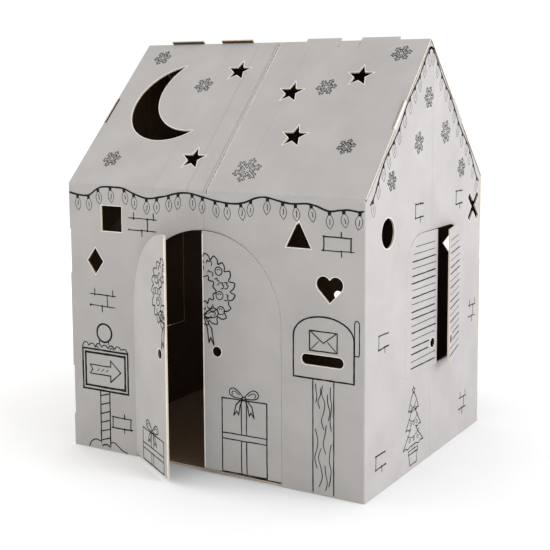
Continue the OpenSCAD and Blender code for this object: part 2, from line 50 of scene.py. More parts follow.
# The house's own sizes, in millimetres
frontHinge = next(j for j in frame["joints"] if j["child"] == "front_left_leaf")["pos_m"]
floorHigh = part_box("floor_panel")[1]
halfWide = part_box("front_roof")[1].x / mm
halfDeep = -frontHinge[1] / mm
house = {
    "boardThick": floorHigh.z / mm,
    "eavesHigh": 664,  # outer corner of the eaves fold
    "ridgeHigh": 1009,
    "lockGap": 0.3,
    "doorMiddle": -7,
    "doorRadius": 206,
    "windowMiddle": 39,
    "windowWide": 343,
    "windowSill": 226,
    "windowHigh": 331,
    "windowRadius": 85,
    "cutGap": 0.8,
    "knobHigh": 293, "knobEdge": 38,
    "gripHigh": 58, "gripEdge": 26,
    "holeWide": 24,
    "leafOpen": {"front_left": -32, "front_right": 2, "back_left": -2, "back_right": 15},  # degrees at rest
    "shutterOpen": {"near": -2, "far": 12},
}
slopeRise = house["ridgeHigh"] - house["eavesHigh"]
slopeAngle = math.atan2(slopeRise, halfDeep)
slopeLong = math.hypot(slopeRise, halfDeep)
print("frame loaded:", len(frame["nodes"]), "nodes")


# Colours and nodes

def hexColour(text):
    # sRGB hex to linear RGBA
    parts = [int(text[i:i + 2], 16) / 255 for i in (1, 3, 5)]
    return tuple(c / 12.92 if c <= 0.04045 else ((c + 0.055) / 1.055) ** 2.4 for c in parts) + (1.0,)


def addNode(tree, kind, *values, out=0, named=None, **settings):
    # values fill the sockets in order and named fills them by key: a socket is linked, None is left alone
    node = tree.nodes.new("ShaderNode" + kind)
    for key, value in settings.items():
        setattr(node, key, value)
    for key, value in [*enumerate(values), *(named or {}).items()]:
        if isinstance(value, bpy.types.NodeSocket):
            tree.links.new(value, node.inputs[key])
        elif value is not None:
            node.inputs[key].default_value = value
    return node.outputs[out] if len(node.outputs) else node


def emptyMaterial(name):
    material = bpy.data.materials.new(name)
    material.use_nodes = True
    material.node_tree.nodes.clear()
    return material, material.node_tree


# Corrugated board, C flute: a clay-white liner outside, brown kraft inside, and flutes along every cut

board = {
    "whiteLiner": "#a7a4a1",
    "whiteLinerShade": "#a09d9a",  # clouding of the fibres
    "kraftLiner": "#453221",
    "kraftLinerShade": "#392818",
    "floorLiner": "#8a7159",  # the loose panel's kraft is coloured paler than the walls' inner liner
    "floorLinerShade": "#7b634b",
    "creasePaintedShade": "#86827d",  # painted shade in the trough of a pressed line
    "creaseGlint": "#c9c6c1",  # painted highlight on its shoulder
    "cutWhite": "#e9e6e0",  # crushed lip of the white liner
    "cutMedium": "#e4dccf",
    "cutKraft": "#d4c7b2",
    "cutHollow": "#b3a288",  # shadow between two flutes
    "holeWallPaintedShade": "#5a4938",  # painted shade on the flutes seen down a finger hole
    # painted shade standing in for the dark inside perforation slits
    "perforationPaintedShade": "#5a544d",
    "flutePitch": 7.8,  # C flute
    "fluteDeep": 1.3,
    "mediumThick": 0.35,
    "linerThick": 0.6,
    "fibreSize": 0.9,
    "cloudSize": 110.0,
    "washboard": 0.03,  # height of the flutes showing through the liner
    "hollowDeep": 0.3,
    "fibreHigh": 0.03,
    "fibreShare": 0.25,  # of the mottling, and the rest is clouding
    "creaseWide": 3.0,
    "creaseDeep": 1.3,
    "flatPress": 0.45,  # a crease is fainter on the wall and the gable
    "twinShare": 0.8,  # depth of the second line beside the roof's middle crease
    "twinAway": 2.6,  # its distance in crease widths
    # how strongly painted shade darkens a crease's trough
    "troughPaintedShade": 0.55,
    # where and how strongly the painted highlight lies beside the roof's middle crease
    "shoulderAway": 1.1,
    "shoulderTone": 0.75,
    "dashHalf": 0.9,
    "dashPitch": 13.0,
    "dashLong": 5.0,
    "dashReach": 110,  # how far the perforations come in from both ends of the slope
    "middleCrease": -5.0,  # across the front wall and up the roof
    "gableCrease": 13.5,
    "slackCreases": [(-52.0, -0.012, 0.5), (-148.0, 0.02, 0.25), (84.0, 0.015, 0.22)],  # x, lean, share
}


def surfaced(tree, colour, roughness, specular, bump, glow=None):
    look = {"Roughness": roughness, "Specular IOR Level": specular, "Normal": bump, **(glow or {})}
    addNode(tree, "OutputMaterial", addNode(tree, "BsdfPrincipled", colour, named=look))


def gapTo(tree, value, at):
    # How far a value is from at
    return addNode(tree, "Math", addNode(tree, "Math", value, at, operation="SUBTRACT"), operation="ABSOLUTE")


def layered(tree, base, layers):
    # Each colour covers what is under it where its mask is one
    for mask, colour in layers:
        if mask is not None:
            over = hexColour(board[colour]) if isinstance(colour, str) else colour
            base = addNode(tree, "Mix", mask, out=2, data_type="RGBA", named={6: base, 7: over})
    return base


def boardShader(tree, depth, along, across, facing, creases=(), slitShade=None, glint=None, inHole=None,
                kraftLook="kraftLiner"):
    # Depth runs from the outer face inwards, along crosses the flutes and across follows them, in millimetres
    thick = house["boardThick"]
    place = addNode(tree, "CombineXYZ", along, across, depth)
    white = addNode(tree, "Math", facing, 0.5, operation="GREATER_THAN")
    kraft = addNode(tree, "Math", facing, -0.5, operation="LESS_THAN")

    # Paper fibres, and soft clouding over a hand's width
    fibre = addNode(tree, "TexNoise", place, named={"Scale": 1 / board["fibreSize"], "Detail": 4.0})
    cloud = addNode(tree, "TexNoise", place, named={"Scale": 1 / board["cloudSize"], "Detail": 3.0})
    mottle = addNode(tree, "Math", cloud, 1 - board["fibreShare"], 0.0, operation="MULTIPLY_ADD")
    mottle = addNode(tree, "Math", fibre, board["fibreShare"], mottle, operation="MULTIPLY_ADD")
    mottle = addNode(tree, "MapRange", mottle, 0.38, 0.62, 0.0, 1.0)
    faceWhite = layered(tree, hexColour(board["whiteLinerShade"]), [(mottle, "whiteLiner")])
    drawn = addNode(tree, "VectorMath", place, (0.6, 0.04, 0.6), operation="MULTIPLY")
    streak = addNode(tree, "TexNoise", drawn, named={"Scale": 1.0, "Detail": 5.0})
    streak = addNode(tree, "MapRange", streak, 0.35, 0.65, 0.0, 1.0)
    faceKraft = layered(tree, hexColour(board[kraftLook + "Shade"]), [(streak, kraftLook)])

    # Cut edge: two liners with the fluted medium between them
    turn = addNode(tree, "Math", along, 2 * math.pi / board["flutePitch"], operation="MULTIPLY")
    wave = addNode(tree, "Math", turn, operation="SINE")
    centre = addNode(tree, "Math", wave, board["fluteDeep"], thick / 2, operation="MULTIPLY_ADD")
    medium = addNode(tree, "Math", gapTo(tree, depth, centre), board["mediumThick"], operation="LESS_THAN")
    outerLiner = addNode(tree, "Math", depth, board["linerThick"], operation="LESS_THAN")
    innerLiner = addNode(tree, "Math", depth, thick - board["linerThick"], operation="GREATER_THAN")
    cut = layered(tree, hexColour(board["cutHollow"]), [
        (medium, "cutMedium"), (innerLiner, "cutKraft"), (outerLiner, "cutWhite"), (inHole, "holeWallPaintedShade")])
    # Painted shade: each crease's trough is darkened in step with its depth
    troughs = [addNode(tree, "Math", crease, board["troughPaintedShade"] / board["creaseDeep"], operation="MULTIPLY",
                       use_clamp=True) for crease in creases]
    colour = layered(tree, cut, [
        (kraft, faceKraft), (white, faceWhite), *((trough, "creasePaintedShade") for trough in troughs),
        (glint, "creaseGlint"), (slitShade, "perforationPaintedShade")])

    # Heights in millimetres: fibres, washboard, creases, and the hollows of the flutes along a cut
    face = addNode(tree, "Math", white, kraft, operation="MAXIMUM")
    height = addNode(tree, "Math", fibre, board["fibreHigh"], operation="MULTIPLY")
    ripple = addNode(tree, "Math", wave, board["washboard"], operation="MULTIPLY")
    height = addNode(tree, "Math", ripple, face, height, operation="MULTIPLY_ADD")
    solid = medium
    for mask in (outerLiner, innerLiner, face):
        solid = addNode(tree, "Math", solid, mask, operation="MAXIMUM")
    height = addNode(tree, "Math", solid, board["hollowDeep"], height, operation="MULTIPLY_ADD")
    for crease in creases:
        height = addNode(tree, "Math", height, crease, operation="SUBTRACT")
    bump = addNode(tree, "Bump", named={"Strength": 1.0, "Distance": mm, "Height": height})
    surfaced(tree, colour, 0.82, 0.3, bump)


def creaseDip(tree, along, at, deep):
    # A pressed line: a smooth dip where along passes at
    return addNode(tree, "MapRange", gapTo(tree, along, at), 0.0, board["creaseWide"], deep, 0.0,
                   interpolation_type="SMOOTHSTEP")


def sheetBoard(name, turned):
    # One folded sheet: the panel that a point lies on gives its depth and the run of its flutes
    material, tree = emptyMaterial(name)
    coords = addNode(tree, "TexCoord").node
    flip = Vector((-1, -1, 1) if turned else (1, 1, 1))
    point = addNode(tree, "VectorMath", coords.outputs["Object"], tuple(flip / mm), operation="MULTIPLY")
    normal = addNode(tree, "VectorMath", coords.outputs["Normal"], tuple(flip), operation="MULTIPLY")
    x, y, z = addNode(tree, "SeparateXYZ", point).node.outputs
    nx, ny, nz = addNode(tree, "SeparateXYZ", normal).node.outputs
    thick = house["boardThick"]
    sine, cosine = math.sin(slopeAngle), math.cos(slopeAngle)
    lockedY = halfDeep - thick - house["lockGap"]

    wallDepth = addNode(tree, "Math", y, halfDeep, operation="ADD")
    gableDepth = addNode(tree, "Math", halfWide, x, operation="SUBTRACT")
    flapDepth = addNode(tree, "Math", lockedY, y, operation="SUBTRACT")
    above = addNode(tree, "Math", z, house["eavesHigh"], operation="SUBTRACT")
    inward = addNode(tree, "Math", wallDepth, sine, operation="MULTIPLY")
    roofDepth = addNode(tree, "Math", above, -cosine, inward, operation="MULTIPLY_ADD")
    backward = addNode(tree, "Math", wallDepth, cosine, operation="MULTIPLY")
    upRoof = addNode(tree, "Math", above, sine, backward, operation="MULTIPLY_ADD")

    isRoof, isGable, isFlap, nearWall = (
        addNode(tree, "Math", within, thick + slack, operation="LESS_THAN")
        for within, slack in ((roofDepth, 1.5), (gableDepth, 0.05), (flapDepth, 0.5), (wallDepth, 0.05)))

    faceWall = addNode(tree, "Math", ny, -1.0, operation="MULTIPLY")
    cornerFace = addNode(tree, "Math", faceWall, nearWall, nx, operation="MULTIPLY_ADD")
    forward = addNode(tree, "Math", ny, -sine, operation="MULTIPLY")
    faceRoof = addNode(tree, "Math", nz, cosine, forward, operation="MULTIPLY_ADD")
    foldFace = addNode(tree, "Math", faceWall, nearWall, faceRoof, operation="MULTIPLY_ADD")

    def byPanel(onRoof, onGable, onFlap, onWall):
        # The value of the panel that a point lies in
        value = onWall
        for mask, here in ((isFlap, onFlap), (isGable, onGable), (isRoof, onRoof)):
            value = addNode(tree, "Mix", mask, named={2: value, 3: here})
        return value

    facing = byPanel(foldFace, cornerFace, ny, faceWall)
    depth = byPanel(roofDepth, gableDepth, flapDepth, wallDepth)
    along = byPanel(x, y, x, x)
    across = byPanel(upRoof, z, z, z)

    # The middle crease is pressed as two close lines on the roof, with perforations near both ends; every
    # crease's trough also gets painted shade
    middle, press = board["middleCrease"], board["flatPress"]
    creaseAt = byPanel(middle, board["gableCrease"], middle, middle)
    nextTo = addNode(tree, "Math", creaseAt, board["twinAway"] * board["creaseWide"], operation="ADD")
    shoulder = addNode(tree, "Math", nextTo, board["shoulderAway"] * board["creaseWide"], operation="ADD")
    creases = [addNode(tree, "Math", creaseDip(tree, along, creaseAt, board["creaseDeep"]),
                       byPanel(1.0, press, press, press), operation="MULTIPLY")]
    onRoofOnly = [creaseDip(tree, x, nextTo, board["twinShare"] * board["creaseDeep"])]
    for at, lean, share in board["slackCreases"]:
        leaning = addNode(tree, "Math", upRoof, lean, at, operation="MULTIPLY_ADD")
        onRoofOnly.append(creaseDip(tree, x, leaning, share * board["creaseDeep"]))
    creases += [addNode(tree, "Math", crease, isRoof, operation="MULTIPLY") for crease in onRoofOnly]

    # Perforation dashes along the twin crease: painted shade where the slits would be
    onLine = addNode(tree, "Math", gapTo(tree, x, nextTo), board["dashHalf"], operation="LESS_THAN")
    dash = addNode(tree, "Math", addNode(tree, "Math", upRoof, board["dashPitch"], operation="MODULO"),
                   board["dashLong"], operation="LESS_THAN")
    nearEnd = addNode(tree, "Math", gapTo(tree, upRoof, slopeLong / 2), slopeLong / 2 - board["dashReach"],
                      operation="GREATER_THAN")
    # Painted highlight beside the roof's middle crease, made patchy along the slope by noise
    upOnly = addNode(tree, "CombineXYZ", upRoof)
    patchyGlint = addNode(tree, "TexNoise", upOnly, named={"Scale": 0.03, "Detail": 3.0})
    patchyGlint = addNode(tree, "MapRange", patchyGlint, 0.38, 0.6, 0.15, 1.0)
    slitShade, glint = isRoof, creaseDip(tree, x, shoulder, board["shoulderTone"])
    for mask in (onLine, dash, nearEnd):
        slitShade = addNode(tree, "Math", slitShade, mask, operation="MULTIPLY")
    for mask in (isRoof, patchyGlint):
        glint = addNode(tree, "Math", glint, mask, operation="MULTIPLY")
    boardShader(tree, depth, along, across, facing, creases, slitShade, glint)
    return material


def flatBoard(name, place, kraftOutside=False, hole=None):
    # A single flat panel: the inverse of its place gives the board's own axes
    material, tree = emptyMaterial(name)
    coords = addNode(tree, "TexCoord").node
    point = coords.outputs["Object"]
    back = place.inverted()
    rows = [Vector(back[i][:3]) for i in range(3)]
    turned = [addNode(tree, "VectorMath", point, tuple(row), out=1, operation="DOT_PRODUCT") for row in rows]
    spots = [addNode(tree, "Math", turned[i], back[i][3], operation="ADD") for i in range(3)]
    depth = addNode(tree, "Math", spots[2], -1.0, operation="MULTIPLY")
    outward = tuple(rows[2].normalized())
    facing = addNode(tree, "VectorMath", coords.outputs["Normal"], outward, out=1, operation="DOT_PRODUCT")
    if kraftOutside:
        facing = addNode(tree, "Math", addNode(tree, "Math", facing, operation="ABSOLUTE"), -1.0,
                         operation="MULTIPLY")
    # Inside a finger hole the cut edge gets painted shade
    inHole = None
    if hole:
        flatSpot = addNode(tree, "CombineXYZ", spots[0], spots[1])
        inHole = addNode(tree, "VectorMath", flatSpot, (*hole, 0), out=1, operation="DISTANCE")
        inHole = addNode(tree, "Math", inHole, house["holeWide"] / 2 + 0.4, operation="LESS_THAN")
    boardShader(tree, depth, spots[0], spots[1], facing, inHole=inHole,
                kraftLook="floorLiner" if kraftOutside else "kraftLiner")
    return material


# Panels: each matrix lays drawing millimetres (sideways, up, proud) on one panel of the house

def panelMatrix(origin, sideways, upward):
    across, up = Vector(sideways), Vector(upward)
    turn = Matrix((across, up, across.cross(up))).transposed().to_4x4()
    return Matrix.Translation(Vector(origin) * mm) @ turn @ Matrix.Diagonal((mm, mm, mm, 1))


def swing(x, y, degrees):
    hinge = Matrix.Translation((x * mm, y * mm, 0))
    return hinge @ Matrix.Rotation(math.radians(degrees), 4, "Z") @ hinge.inverted()


halfTurn = Matrix.Rotation(math.pi, 4, "Z")
wallPlace = panelMatrix((0, -halfDeep, 0), (1, 0, 0), (0, 0, 1))
gablePlace = panelMatrix((halfWide, 0, 0), (0, 1, 0), (0, 0, 1))
roofPlace = panelMatrix((0, -halfDeep, house["eavesHigh"]), (1, 0, 0),
                        (0, math.cos(slopeAngle), math.sin(slopeAngle)))
places = {"front_wall": wallPlace, "front_roof": roofPlace, "right_gable": gablePlace}
for side, sign in (("left", -1), ("right", 1)):
    hingeX = house["doorMiddle"] + sign * house["doorRadius"]
    for end in ("front", "back"):
        leaf = swing(hingeX, -halfDeep, house["leafOpen"][end + "_" + side]) @ wallPlace
        places[f"{end}_{side}_leaf"] = halfTurn @ leaf if end == "back" else leaf
for which, sign in (("near", -1), ("far", 1)):
    hingeY = house["windowMiddle"] + sign * house["windowWide"] / 2
    shutter = swing(halfWide, hingeY, house["shutterOpen"][which]) @ gablePlace
    places[f"right_{which}_shutter"] = shutter
    places[f"left_{which}_shutter"] = halfTurn @ shutter
places["back_wall"] = halfTurn @ wallPlace
places["back_roof"] = halfTurn @ roofPlace
places["left_gable"] = halfTurn @ gablePlace
floorPlace = panelMatrix((0, 0, floorHigh.z / mm), (0, 1, 0), (-1, 0, 0))


def dress(node, material):
    mesh = frame["nodes"][node].data
    mesh.materials.clear()
    mesh.materials.append(material)


frontBoard = sheetBoard("whiteTopCorrugatedBoardFront", False)
backBoard = sheetBoard("whiteTopCorrugatedBoardBack", True)
for node in ("front_wall", "front_roof", "right_gable"):
    dress(node, frontBoard)
for node in ("back_wall", "back_roof", "left_gable"):
    dress(node, backBoard)
dress("floor_panel", flatBoard("kraftCorrugatedBoardFloor", floorPlace, kraftOutside=True))


def fingerHole(node):
    # Middle of a leaf's or shutter's hole in its panel's millimetres
    side = -1 if "_left_" in node or "_near_" in node else 1
    if node.endswith("leaf"):
        return house["doorMiddle"] + side * house["knobEdge"], house["knobHigh"]
    return house["windowMiddle"] + side * house["gripEdge"], house["windowSill"] + house["gripHigh"]


for name, place in places.items():
    if name.endswith(("leaf", "shutter")):
        dress(name, flatBoard("whiteTopCorrugatedBoard_" + name, place, hole=fingerHole(name)))
print("board materials made")


# Printing ink: flexographic black on clay-white liner, dull, a little thin where the plate kissed lightly

inkLook = {"black": "#0d0c0c", "thin": "#211f1f", "patchSize": 7.0}


def placeInMillimetres(tree):
    coords = addNode(tree, "TexCoord").node
    return addNode(tree, "VectorMath", coords.outputs["Object"], (1 / mm,) * 3, operation="MULTIPLY")


def inkMaterialMade():
    material, tree = emptyMaterial("flexographicBlackInk")
    point = placeInMillimetres(tree)
    patch = addNode(tree, "TexNoise", point, named={"Scale": 1 / inkLook["patchSize"], "Detail": 5.0})
    patch = addNode(tree, "MapRange", patch, 0.5, 0.72, 0.0, 1.0)
    colour = layered(tree, hexColour(inkLook["black"]), [(patch, hexColour(inkLook["thin"]))])
    fibre = addNode(tree, "TexNoise", point, named={"Scale": 1 / board["fibreSize"], "Detail": 3.0})
    bump = addNode(tree, "Bump", named={"Strength": 0.6, "Distance": 0.02 * mm, "Height": fibre})
    surfaced(tree, colour, 0.7, 0.15, bump)
    return material


inkMaterial = inkMaterialMade()

# The pen: lines are walked in short steps, wander a little and swell a little

pen = {
    "step": 4.0,
    "press": 1.12,  # how much wider a line prints than it was drawn
    "shake": 0.7,
    "shakeSize": 26.0,
    "swell": 0.28,
    "swellSize": 17.0,
    "tip": 0.55,  # share of the width left at the end of a line
    "proud": 0.22,
    "bedded": 0.08,
}
hand = random.Random(12)
noise.seed_set(12)  # or else the lines wander differently each time


def newDrawing():
    return {"lines": [], "blots": []}


def smooth(points, closed=False, parts=6):
    count = len(points)
    path = []
    for i in range(count if closed else count - 1):
        a, b, c, d = (Vector(points[k % count] if closed else points[min(max(k, 0), count - 1)])
                      for k in range(i - 1, i + 3))
        for j in range(parts):
            t = j / parts
            path.append(0.5 * (2 * b + (c - a) * t + (2 * a - 5 * b + 4 * c - d) * t * t
                               + (3 * b - a - 3 * c + d) * t ** 3))
    return path if closed else path + [Vector(points[-1])]


def line(drawing, points, wide, closed=False, curved=False, shake=None):
    corners = smooth(points, closed) if curved else [Vector(p) for p in points]
    if closed:
        corners.append(corners[0])
    seed = hand.random() * 90
    reach = pen["shake"] if shake is None else shake
    path = []
    for a, b in zip(corners, corners[1:]):
        parts = max(1, round((b - a).length / pen["step"]))
        path += [a.lerp(b, i / parts) for i in range(parts)]
    if not closed:
        path.append(corners[-1])
    path = [p + reach * noise.noise_vector((p.x / pen["shakeSize"], p.y / pen["shakeSize"], seed)).xy
            for p in path]
    drawing["lines"].append((path, wide, closed, seed))


def blot(drawing, points):
    drawing["blots"].append([Vector(p) for p in points])


def placed(at, points):
    return [(at[0] + px, at[1] + py) for px, py in points]


def polar(at, radius, angle):
    return at[0] + radius * math.cos(angle), at[1] + radius * math.sin(angle)


def arc(at, radius, start, end, count):
    return [polar(at, radius, math.radians(start + (end - start) * i / count)) for i in range(count + 1)]


def oblong(left, foot, right, top):
    return [(left, foot), (right, foot), (right, top), (left, top)]


def star(at, outer, inner):
    return [polar(at, r, math.pi / 2 + i * math.pi / 5) for i, r in enumerate([outer, inner] * 5)]


def dot(drawing, at, radius, count=10):
    blot(drawing, [polar(at, radius, i * 2 * math.pi / count) for i in range(count)])


def ring(drawing, at, radiusX, radiusY, wide, count=24):
    turns = [i * 2 * math.pi / count for i in range(count)]
    around = [(radiusX * math.cos(turn), radiusY * math.sin(turn)) for turn in turns]
    line(drawing, placed(at, around), wide, closed=True)


def cutRuns(path, closed, inside):
    # Pieces of a line on one side of a cut
    if not inside or all(inside(p) for p in path):
        return [(path, closed)]
    if closed:
        first = next((i for i, p in enumerate(path) if not inside(p)), 0)
        path = path[first:] + path[:first + 1]
    runs, run = [], []
    for a, b in zip(path, path[1:]):
        if inside(a):
            run.append(a)
        if inside(a) != inside(b):
            low, high = (a, b) if inside(a) else (b, a)
            for step in range(8):
                middle = low.lerp(high, 0.5)
                low, high = (middle, high) if inside(middle) else (low, middle)
            run.append(low)
            if inside(a):
                runs.append(run)
                run = []
    if inside(path[-1]):
        run.append(path[-1])
    return [(r, False) for r in runs + [run] if len(r) > 1 and (r[0] - r[-1]).length > 0.8]


def ribbon(verts, faces, path, wide, closed, seed):
    count = len(path)
    base = len(verts)
    for i, p in enumerate(path):
        before = path[(i - 1) % count] if closed or i else p
        after = path[(i + 1) % count] if closed or i < count - 1 else p
        one, two = (p - before), (after - p)
        one = one.normalized() if one.length > 1e-6 else two.normalized()
        two = two.normalized() if two.length > 1e-6 else one
        mean = (one + two)
        mean = mean.normalized() if mean.length > 1e-3 else one
        swelling = noise.noise((p.x / pen["swellSize"], p.y / pen["swellSize"], seed + 7))
        half = wide * pen["press"] / 2 * (1 + pen["swell"] * swelling) / max(0.6, mean.dot(one))
        if not closed and i in (0, count - 1):
            half *= pen["tip"]
        edge = Vector((-mean.y, mean.x)) * half
        for side, level in ((edge, pen["proud"]), (-edge, pen["proud"]), (-edge, -pen["bedded"]),
                            (edge, -pen["bedded"])):
            verts.append((p.x + side.x, p.y + side.y, level))
    for i in range(count if closed else count - 1):
        a, b = base + 4 * i, base + 4 * ((i + 1) % count)
        for k in range(4):
            faces.append((a + k, a + (k + 1) % 4, b + (k + 1) % 4, b + k))
    if not closed:
        faces.append((base + 3, base + 2, base + 1, base))
        faces.append(tuple(base + 4 * (count - 1) + k for k in range(4)))


def printed(name, node, drawing, inside=None):
    piece = laidOn(name, node, drawing, inkMaterial, inside)
    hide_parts(node + "_print")


def laidOn(name, node, drawing, material, inside=None):
    place = places[node]
    verts, faces = [], []
    for path, wide, closed, seed in drawing["lines"]:
        for run, whole in cutRuns(path, closed, inside):
            ribbon(verts, faces, run, wide, whole, seed)
    for corners in drawing["blots"]:
        if inside and not all(inside(p) for p in corners):
            continue
        area = sum(a.x * b.y - b.x * a.y for a, b in zip(corners, corners[1:] + corners[:1]))
        corners = corners if area > 0 else corners[::-1]
        base, count = len(verts), len(corners)
        verts += [(p.x, p.y, pen["proud"] * 1.1) for p in corners]
        verts += [(p.x, p.y, -pen["bedded"]) for p in corners]
        faces.append(tuple(base + i for i in range(count)))
        faces.append(tuple(base + count + i for i in reversed(range(count))))
        faces += [(base + count + i, base + count + (i + 1) % count, base + (i + 1) % count, base + i)
                  for i in range(count)]
    mesh = bpy.data.meshes.new(name)
    mesh.from_pydata([place @ Vector(v) for v in verts], [], faces)
    mesh.materials.append(material)
    piece = bpy.data.objects.new(name, mesh)
    bpy.context.scene.collection.objects.link(piece)
    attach(piece, node if node.endswith(("leaf", "shutter")) else "house")
    return piece


# String of lights along the eaves and up both slopes of a gable

lights = {
    "cordWide": 3.8,
    "gableCordWide": 4.0,
    "bulbLong": 30.0,
    "bulbWide": 16.0,
    "glassLine": 1.1,
    "filamentLine": 1.7,
    "socketWide": 8.4,
    "socketLong": 7.6,
    "gableGlassLine": 0.75,
    "cord": [(-406, 641), (-378, 636), (-345, 636), (-320, 651), (-302, 658), (-268, 659), (-236, 657),
             (-205, 646), (-166, 637), (-122, 643), (-78, 653), (-45, 655), (-12, 649), (28, 641), (72, 637),
             (104, 641), (136, 653), (162, 656), (192, 650), (226, 645), (262, 647), (286, 644), (318, 634),
             (345, 637), (366, 639), (392, 636), (406, 640)],
    "bulbs": [-379, -345, -315, -277, -235, -206, -168, -138, -104, -76, -37, -8, 26, 57, 95, 122, 166, 204,
              236, 275, 320, 354, 393],
    # Up the slope, and under its edge
    "gableCord": [(3, 25), (18, 27), (40, 25), (75, 18), (110, 13), (140, 13), (175, 17), (215, 18),
                  (250, 14), (290, 11), (330, 13), (370, 15), (410, 12), (448, 11), (470, 15)],
    "gableBulbs": [32, 70, 106, 142, 182, 222, 262, 300, 340, 378, 416, 452],
}


def bulb(drawing, at, lean, glassLine):
    turn = Matrix.Rotation(lean, 2)
    long, wide = lights["bulbLong"], lights["bulbWide"]
    socket, socketHalf = lights["socketLong"], lights["socketWide"] / 2
    spot = Vector(at)
    cap = [(-socketHalf, 1.5), (socketHalf, 1.0), (socketHalf * 0.92, -socket), (-socketHalf * 0.95, -socket)]
    blot(drawing, [spot + turn @ Vector(p) for p in cap])
    sides = []
    for i in range(11):
        t = i / 10
        half = wide / 2 * (0.3 * (1 - t) ** 2 + math.sin(math.pi * t) ** 0.8) if t < 1 else 0
        sides.append(Vector((half, -socket * 0.9 - long * t)))
    glass = sides + [Vector((-p.x, p.y)) for p in reversed(sides[:-1])]
    line(drawing, [spot + turn @ p for p in glass], glassLine, closed=True, shake=0.5)
    slant = hand.uniform(-1.6, 1.6)
    middle = -socket - long * hand.uniform(0.38, 0.5)
    reach = long * hand.uniform(0.16, 0.26)
    filament = [(-slant, middle + reach), (hand.uniform(0.4, 1.4), middle), (slant, middle - reach)]
    line(drawing, [spot + turn @ Vector(p) for p in filament],
         lights["filamentLine"] if glassLine > 1 else glassLine, curved=True)


def heightOn(path, x):
    for a, b in zip(path, path[1:]):
        if a.x <= x <= b.x:
            return a.y + (b.y - a.y) * (x - a.x) / max(b.x - a.x, 1e-6)
    return path[-1].y


def wallLights(drawing):
    cord = smooth(lights["cord"])
    line(drawing, cord, lights["cordWide"], shake=0.3)
    for x in lights["bulbs"]:
        bulb(drawing, (x, heightOn(cord, x) - 1.5), hand.uniform(-0.14, 0.17), lights["glassLine"])


def gableLights(drawing):
    def onSlope(up, under):
        return Vector((-halfDeep + up * math.cos(slopeAngle) + under * math.sin(slopeAngle),
                       house["eavesHigh"] + up * math.sin(slopeAngle) - under * math.cos(slopeAngle)))
    near = [onSlope(up, under) for up, under in lights["gableCord"]]
    peak = [(-14, house["ridgeHigh"] - 27), (0, house["ridgeHigh"] - 24), (14, house["ridgeHigh"] - 27)]
    cord = smooth([*near, *peak, *(Vector((-p.x, p.y)) for p in reversed(near))])
    line(drawing, cord, lights["gableCordWide"], shake=0.3)
    for up in lights["gableBulbs"]:
        spot = onSlope(up, 15)
        for sign in (-1, 1):
            x = abs(spot.x) * sign
            lean = hand.uniform(-0.05, 0.2) * -sign
            bulb(drawing, (x, heightOn(cord, x) - 1), lean, lights["gableGlassLine"])


# Brickwork showing through the plaster, in small patches

bricks = {
    "line": 2.6,
    "blob": 2.6,
    "wall": [((-180, 573), 88, 27, "open"), ((-306, 378), 84, 27, "open"), ((-256, 76), 56, 27, "boxed"),
             ((339, 564), 66, 30, "boxed")],
    "gable": [((-62, 611), 42, 32, "hooked"), ((187, 619), 40, 32, "hooked"), ((-252, 342), 48, 30, "hooked"),
              ((-264, 74), 48, 30, "hooked"), ((288, 312), 52, 28, "open"), ((230, 80), 52, 28, "open")],
}


def brickPatch(drawing, at, wide, high, kind):
    half, up = wide / 2, high / 2

    def mark(points, blobs=()):
        line(drawing, placed(at, points), bricks["line"] * hand.uniform(0.75, 1.1), shake=1.0)
        for spot in placed(at, blobs):
            dot(drawing, spot, bricks["blob"] * hand.uniform(0.8, 1.25), 8)

    if kind == "open":
        mark([(-half, up + 1), (half * 0.95, up)], [(-half * 0.62, up), (half * 0.72, up)])
        mark([(-half * 0.97, -up), (half * 0.9, -up - 1)], [(-half * 0.95, -up), (half * 0.3, -up)])
        mark([(-half * 0.62, up), (-half * 0.62, up + high * 0.62)])
        mark([(half * 0.72, up), (half * 0.71, up + high * 0.58)])
        mark([(half * 0.3, up), (half * 0.31, -up)], [(half * 0.3, up)])
        mark([(-half * 0.08, -up), (-half * 0.08, -up - high * 0.6)], [(-half * 0.08, -up)])
    else:
        mark([(-half, -up), (-half * 0.98, up), (half * 0.98, up - 1)],
             [(-half, up), (half, up - 1), (half * 0.3, up)])
        mark([(-half * 1.18, -up - 1), (half * 1.25, -up)],
             [(-half * 1.02, -up), (half, -up), (half * 0.3, -up)])
        if kind == "boxed":
            mark([(half, up - 1), (half * 0.98, -up)])
            mark([(half * 0.3, up), (half * 0.3, up + high * 0.42)])
        mark([(half * 0.3, -up), (half * 0.3, -up - high * 0.45)])


# Sign post with a snow cap and a ball, standing in a drift

signPost = {
    "left": -375, "right": -234, "foot": 151, "top": 253, "frameIn": 9,
    "frameLine": 4.2, "snowLine": 2.4, "ballAt": (-305, 297), "ballRadius": 23,
    "postLeft": -321, "postRight": -292, "postFoot": 16, "postLine": 3.0, "stripes": 6,
    "arrowReach": 48, "arrowHigh": 27, "driftLine": 2.6,
    "drifts": [[(-361, 2), (-354, 15), (-341, 23), (-330, 22), (-322, 21)],
               [(-291, 21), (-281, 22), (-270, 16), (-258, 8), (-240, 2)]],
    "driftEdge": [(-321, 14), (-317, 9), (-313, 14), (-309, 12), (-305, 16), (-301, 11), (-298, 13),
                  (-293, 6)],
}


